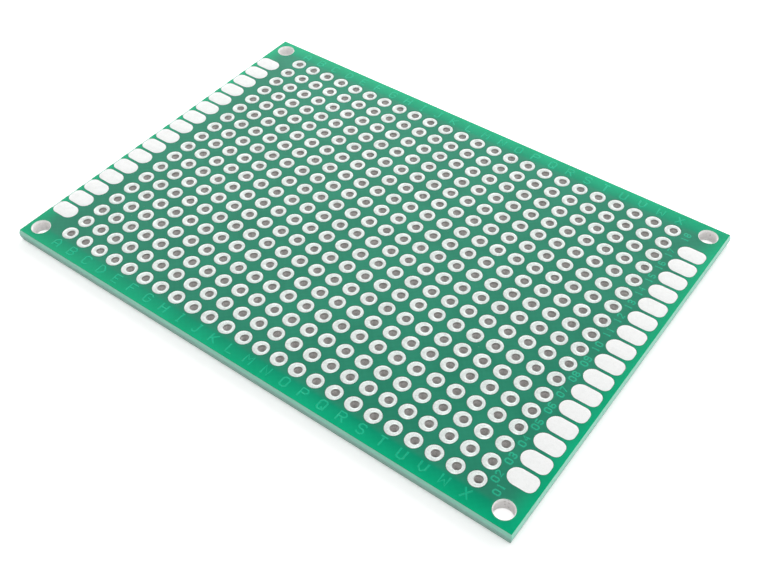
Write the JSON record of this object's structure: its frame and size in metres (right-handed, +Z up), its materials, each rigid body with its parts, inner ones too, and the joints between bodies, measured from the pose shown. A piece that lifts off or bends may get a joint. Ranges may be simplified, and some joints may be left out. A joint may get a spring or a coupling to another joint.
{
  "type": "prototype board",
  "caption": "Rectangular double-sided prototype board: a grid of plated holes for component leads, a comb of solder pads along each short end and plated holes in the corners.",
  "frame": {"origin": "under the middle of the board's outline, on the plane that its underside metal lies on", "axes": "+X along the long side from column A to column X, +Y across the board from row 01 to row 18, +Z up out of the lettered top face"},
  "size_m": [0.07, 0.05, 0.0016],
  "materials": {
    "laminate": "translucent glass-fibre laminate, scored and snapped at the edges",
    "coating": "glossy green solder-resist coating",
    "tin": "bright hot-dipped tin over copper"
  },
  "bodies": {
    "root": {"laminate": "laminate", "coating_top": "coating", "coating_bottom": "coating", "hole_plating_row_01": "tin", "hole_plating_row_02": "tin", "hole_plating_row_03": "tin", "hole_plating_row_04": "tin", "hole_plating_row_05": "tin", "hole_plating_row_06": "tin", "hole_plating_row_07": "tin", "hole_plating_row_08": "tin", "hole_plating_row_09": "tin", "hole_plating_row_10": "tin", "hole_plating_row_11": "tin", "hole_plating_row_12": "tin", "hole_plating_row_13": "tin", "hole_plating_row_14": "tin", "hole_plating_row_15": "tin", "hole_plating_row_16": "tin", "hole_plating_row_17": "tin", "hole_plating_row_18": "tin", "end_pads_left_top": "tin", "end_pads_left_bottom": "tin", "end_pads_right_top": "tin", "end_pads_right_bottom": "tin", "corner_hole_sleeves": "tin"}
  },
  "joints": []
}
